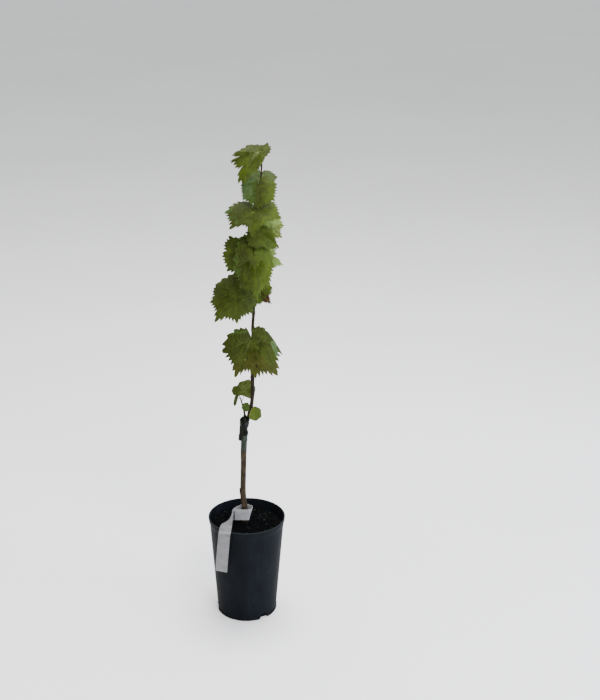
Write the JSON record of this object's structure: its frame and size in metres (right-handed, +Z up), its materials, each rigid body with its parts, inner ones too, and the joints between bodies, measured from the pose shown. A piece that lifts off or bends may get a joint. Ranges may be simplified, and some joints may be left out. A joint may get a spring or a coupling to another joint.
{
  "type": "potted grapevine",
  "caption": "Young grafted grapevine with an upright leafy shoot in a deep round nursery pot, with a blank strip label looped round its trunk.",
  "frame": {"origin": "centre of the pot's flat underside", "axes": "+Z up along the plant, +X to the plant's right seen from the front, front facing -Y"},
  "size_m": [0.155, 0.1565, 0.9697],
  "materials": {
    "pot": "moulded polypropylene, dark slate, satin",
    "compost": "damp peat compost, crumbly and matt",
    "bark": "young vine bark, brown, finely fissured",
    "grafting_wax": "dark green grafting wax over wood, soft sheen",
    "green_wood": "this year's shoot, dark reddish brown, smooth",
    "leaf": "vine leaf, dull green, veined and slightly puckered",
    "pale_leaf": "young vine leaf, pale green, veined",
    "label": "blank white plastic film, satin"
  },
  "bodies": {
    "root": {"pot": "pot", "compost": "compost", "trunk": "bark", "graft": "grafting_wax", "main_shoot": "green_wood", "side_sprout": "leaf", "leaf_01": "leaf", "leaf_02": "leaf", "leaf_03": "leaf", "leaf_04": "leaf", "leaf_05": "leaf", "leaf_06": "leaf", "leaf_07": "leaf", "leaf_08": "leaf", "leaf_09": "leaf", "leaf_10": "leaf", "leaf_11": "leaf", "leaf_12": "leaf", "leaf_13": "pale_leaf", "leaf_14": "leaf", "leaf_15": "leaf", "leaf_16": "leaf", "leaf_17": "leaf", "leaf_18": "leaf", "label": "label"}
  },
  "joints": []
}
